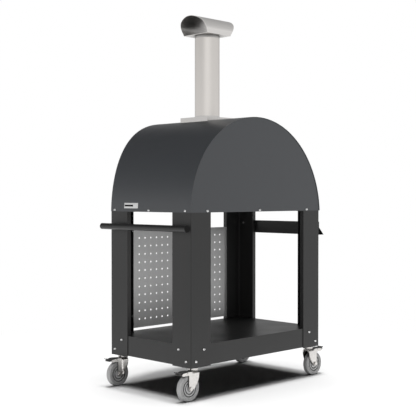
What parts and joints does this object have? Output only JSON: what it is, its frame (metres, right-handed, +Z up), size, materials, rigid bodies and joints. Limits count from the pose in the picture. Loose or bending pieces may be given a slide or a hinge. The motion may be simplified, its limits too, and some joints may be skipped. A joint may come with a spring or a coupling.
{
  "type": "outdoor pizza oven table",
  "caption": "Barrel-hooded outdoor pizza oven with a chimney on a wheeled cart with open shelf, perforated panel, tube handle and braked casters.",
  "frame": {"origin": "on the floor, under the middle of the outer box", "axes": "+Z up, -Y towards the oven's mouth, +X towards the tube handle's side"},
  "size_m": [1.13, 0.76, 1.9883],
  "materials": {
    "cart_paint": "fine satin powder coat",
    "hood_paint": "fine satin powder coat",
    "panel_steel": "brushed sheet",
    "stainless": "brushed sheet",
    "pipe_steel": "fine brushed, satin",
    "zinc": "bright zinc plate",
    "badge_chrome": "bare polished plate",
    "plug_plastic": "moulded",
    "fibre": "ceramic fibre board and blanket",
    "firebrick": "fired clay tile",
    "grip_wood": "oiled dark wood",
    "caster_steel": "pressed and plated steel",
    "tyre_grey": "grey non-marking rubber",
    "hub_grey": "moulded",
    "pedal_black": "dark coated"
  },
  "bodies": {
    "cart": {"leg_front_left": "cart_paint", "leg_front_right": "cart_paint", "leg_rear_left": "cart_paint", "leg_rear_right": "cart_paint", "lower_shelf": "cart_paint", "leg_screws": "zinc", "tool_panel": "panel_steel", "panel_screws": "zinc", "handle_tube": "cart_paint", "handle_posts": "cart_paint", "handle_plugs": "plug_plastic", "side_rail": "cart_paint", "side_bolts": "zinc", "base_pan": "cart_paint", "frame_bolts": "zinc", "hood_shell": "hood_paint", "back_panel": "hood_paint", "front_panel": "stainless", "front_sill": "stainless", "hood_screws": "zinc", "badge_plate": "badge_chrome", "oven_vault": "stainless", "insulation": "fibre", "hearth_board": "fibre", "hearth_tiles": "firebrick", "flue_throat": "stainless", "flue_collar": "stainless", "chimney_pipe": "pipe_steel", "hinge_brackets": "stainless", "hinge_pins": "zinc", "caster_head_front_left": "caster_steel", "caster_head_front_right": "caster_steel", "caster_head_rear_left": "caster_steel", "caster_head_rear_right": "caster_steel"},
    "door": {"door_leaf": "stainless", "door_grip": "grip_wood", "grip_posts": "stainless"},
    "cap": {"chimney_cap": "pipe_steel"},
    "swivel_front_left": {"fork_front_left": "caster_steel", "axle_front_left": "caster_steel"},
    "wheel_front_left": {"tyre_front_left": "tyre_grey", "hub_front_left": "hub_grey"},
    "pedal_front_left": {"brake_pedal_front_left": "pedal_black"},
    "swivel_front_right": {"fork_front_right": "caster_steel", "axle_front_right": "caster_steel"},
    "wheel_front_right": {"tyre_front_right": "tyre_grey", "hub_front_right": "hub_grey"},
    "pedal_front_right": {"brake_pedal_front_right": "pedal_black"},
    "swivel_rear_left": {"fork_rear_left": "caster_steel", "axle_rear_left": "caster_steel"},
    "wheel_rear_left": {"tyre_rear_left": "tyre_grey", "hub_rear_left": "hub_grey"},
    "pedal_rear_left": {"brake_pedal_rear_left": "pedal_black"},
    "swivel_rear_right": {"fork_rear_right": "caster_steel", "axle_rear_right": "caster_steel"},
    "wheel_rear_right": {"tyre_rear_right": "tyre_grey", "hub_rear_right": "hub_grey"},
    "pedal_rear_right": {"brake_pedal_rear_right": "pedal_black"}
  },
  "joints": [
    {"name": "door_swing", "type": "hinge", "parent": "cart", "child": "door", "pos_m": [-0.304, -0.2189, 1.0855], "axis": [0, 0, -1], "range_deg": [0, 110]},
    {"name": "cap_turn", "type": "hinge", "parent": "cart", "child": "cap", "pos_m": [0, -0.029, 1.891], "axis": [0, 0, 1], "continuous": true},
    {"name": "swivel_front_left", "type": "hinge", "parent": "cart", "child": "swivel_front_left", "pos_m": [-0.451, -0.218, 0.144], "axis": [0, 0, 1], "continuous": true},
    {"name": "wheel_front_left", "type": "hinge", "parent": "swivel_front_left", "child": "wheel_front_left", "pos_m": [-0.487, -0.218, 0.065], "axis": [0, -1, 0], "continuous": true},
    {"name": "brake_front_left", "type": "hinge", "parent": "swivel_front_left", "child": "pedal_front_left", "pos_m": [-0.508, -0.218, 0.141], "axis": [0, -1, 0], "range_deg": [0, 12]},
    {"name": "swivel_front_right", "type": "hinge", "parent": "cart", "child": "swivel_front_right", "pos_m": [0.451, -0.218, 0.144], "axis": [0, 0, 1], "continuous": true},
    {"name": "wheel_front_right", "type": "hinge", "parent": "swivel_front_right", "child": "wheel_front_right", "pos_m": [0.487, -0.218, 0.065], "axis": [0, 1, 0], "continuous": true},
    {"name": "brake_front_right", "type": "hinge", "parent": "swivel_front_right", "child": "pedal_front_right", "pos_m": [0.508, -0.218, 0.141], "axis": [0, 1, 0], "range_deg": [0, 12]},
    {"name": "swivel_rear_left", "type": "hinge", "parent": "cart", "child": "swivel_rear_left", "pos_m": [-0.451, 0.324, 0.144], "axis": [0, 0, 1], "continuous": true},
    {"name": "wheel_rear_left", "type": "hinge", "parent": "swivel_rear_left", "child": "wheel_rear_left", "pos_m": [-0.487, 0.324, 0.065], "axis": [0, -1, 0], "continuous": true},
    {"name": "brake_rear_left", "type": "hinge", "parent": "swivel_rear_left", "child": "pedal_rear_left", "pos_m": [-0.508, 0.324, 0.141], "axis": [0, -1, 0], "range_deg": [0, 12]},
    {"name": "swivel_rear_right", "type": "hinge", "parent": "cart", "child": "swivel_rear_right", "pos_m": [0.451, 0.324, 0.144], "axis": [0, 0, 1], "continuous": true},
    {"name": "wheel_rear_right", "type": "hinge", "parent": "swivel_rear_right", "child": "wheel_rear_right", "pos_m": [0.487, 0.324, 0.065], "axis": [0, 1, 0], "continuous": true},
    {"name": "brake_rear_right", "type": "hinge", "parent": "swivel_rear_right", "child": "pedal_rear_right", "pos_m": [0.508, 0.324, 0.141], "axis": [0, 1, 0], "range_deg": [0, 12]}
  ]
}
